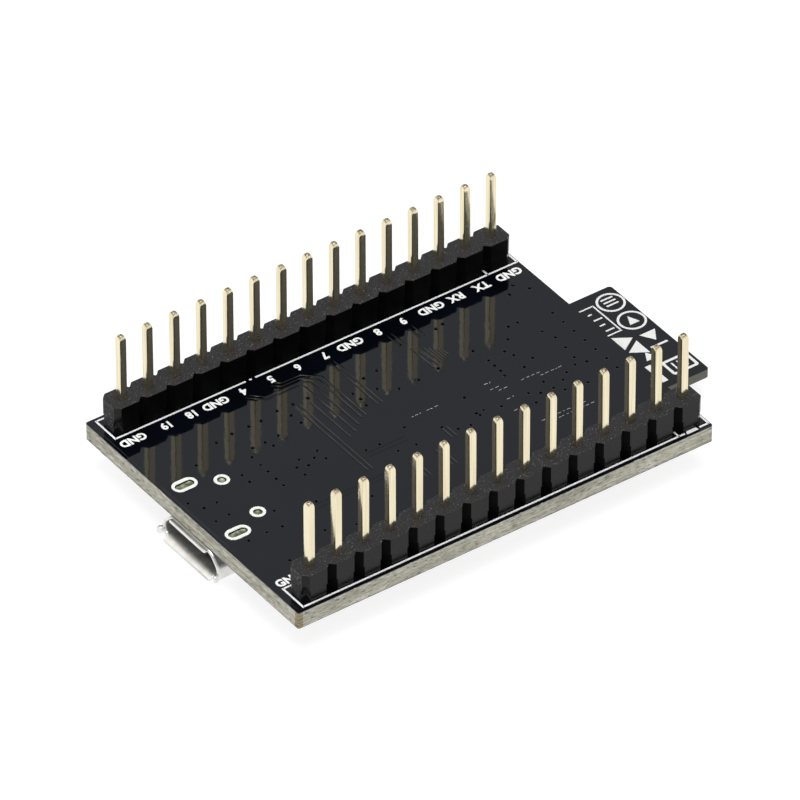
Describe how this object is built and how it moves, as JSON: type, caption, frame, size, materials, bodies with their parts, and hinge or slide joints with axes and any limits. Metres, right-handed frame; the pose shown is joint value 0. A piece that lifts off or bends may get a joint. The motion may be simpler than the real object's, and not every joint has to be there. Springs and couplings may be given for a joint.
{
  "type": "microcontroller dev board",
  "caption": "Small black development board with rows of square header pins, a radio module overhanging one end, a micro-USB socket at the other end and press buttons underneath.",
  "frame": {"origin": "centre of the pin field, on the pin side of the main board", "axes": "+X from the USB end to the antenna end, +Y across the board to the row with the serial pins, +Z along the pins, away from the board; components hang on the -Z side"},
  "size_m": [0.0456, 0.0288, 0.0128],
  "materials": {
    "laminate": "black solder mask over pale laminate",
    "housing": "moulded black plastic, slightly glossy sides",
    "gold_pin": "gold plated",
    "solder": "bright tin solder",
    "shell_steel": "nickel plated steel",
    "contact_gold": "gold plated",
    "black_resin": "moulded black resin",
    "module_laminate": "black solder mask over thin laminate",
    "shield_metal": "satin nickel silver",
    "tinned": "tinned copper",
    "antenna_copper": "copper under black solder mask",
    "crystal_metal": "metal lid",
    "capacitor_ceramic": "fired tan ceramic",
    "resistor_black": "black overglaze",
    "led_white": "white moulded cup",
    "led_lens": "clear silicone",
    "led_die": "bare dies",
    "switch_metal": "stamped stainless steel",
    "button_plastic": "off-white moulded plastic"
  },
  "bodies": {
    "board": {"pcb": "laminate", "header_housing_near": "housing", "header_housing_far": "housing", "header_pins_near": "gold_pin", "header_pins_far": "gold_pin", "header_solder_near": "solder", "header_solder_far": "solder", "usb_shell": "shell_steel", "usb_contacts": "contact_gold", "usb_insulator": "black_resin", "usb_solder": "solder", "module_board": "module_laminate", "module_pads": "contact_gold", "module_solder": "solder", "module_shield": "shield_metal", "module_chip": "black_resin", "module_crystal": "crystal_metal", "module_passives": "capacitor_ceramic", "module_antenna": "antenna_copper", "bridge_chip": "black_resin", "bridge_pads": "tinned", "regulator_body": "black_resin", "regulator_leads": "tinned", "diode_body": "black_resin", "diode_leads": "tinned", "transistor_bodies": "black_resin", "transistor_leads": "tinned", "colour_led_body": "led_white", "colour_led_lens": "led_lens", "colour_led_dies": "led_die", "colour_led_terminals": "tinned", "power_led_base": "led_white", "power_led_lens": "led_lens", "power_led_terminals": "tinned", "capacitor_bodies": "capacitor_ceramic", "capacitor_caps": "tinned", "resistor_bodies": "resistor_black", "resistor_caps": "tinned", "boot_base": "black_resin", "boot_cover": "switch_metal", "boot_dome": "switch_metal", "boot_terminals": "tinned", "reset_base": "black_resin", "reset_cover": "switch_metal", "reset_dome": "switch_metal", "reset_terminals": "tinned"},
    "boot_button": {"boot_button": "button_plastic"},
    "reset_button": {"reset_button": "button_plastic"}
  },
  "joints": [
    {"name": "boot_press", "type": "slide", "parent": "board", "child": "boot_button", "axis": [0, 0, 1], "range_m": [0, 0.00025], "stiffness_N_per_m": 1600, "springref_m": -0.0005, "deforming": ["boot_dome"]},
    {"name": "reset_press", "type": "slide", "parent": "board", "child": "reset_button", "axis": [0, 0, 1], "range_m": [0, 0.00025], "stiffness_N_per_m": 1600, "springref_m": -0.0005, "deforming": ["reset_dome"]}
  ]
}
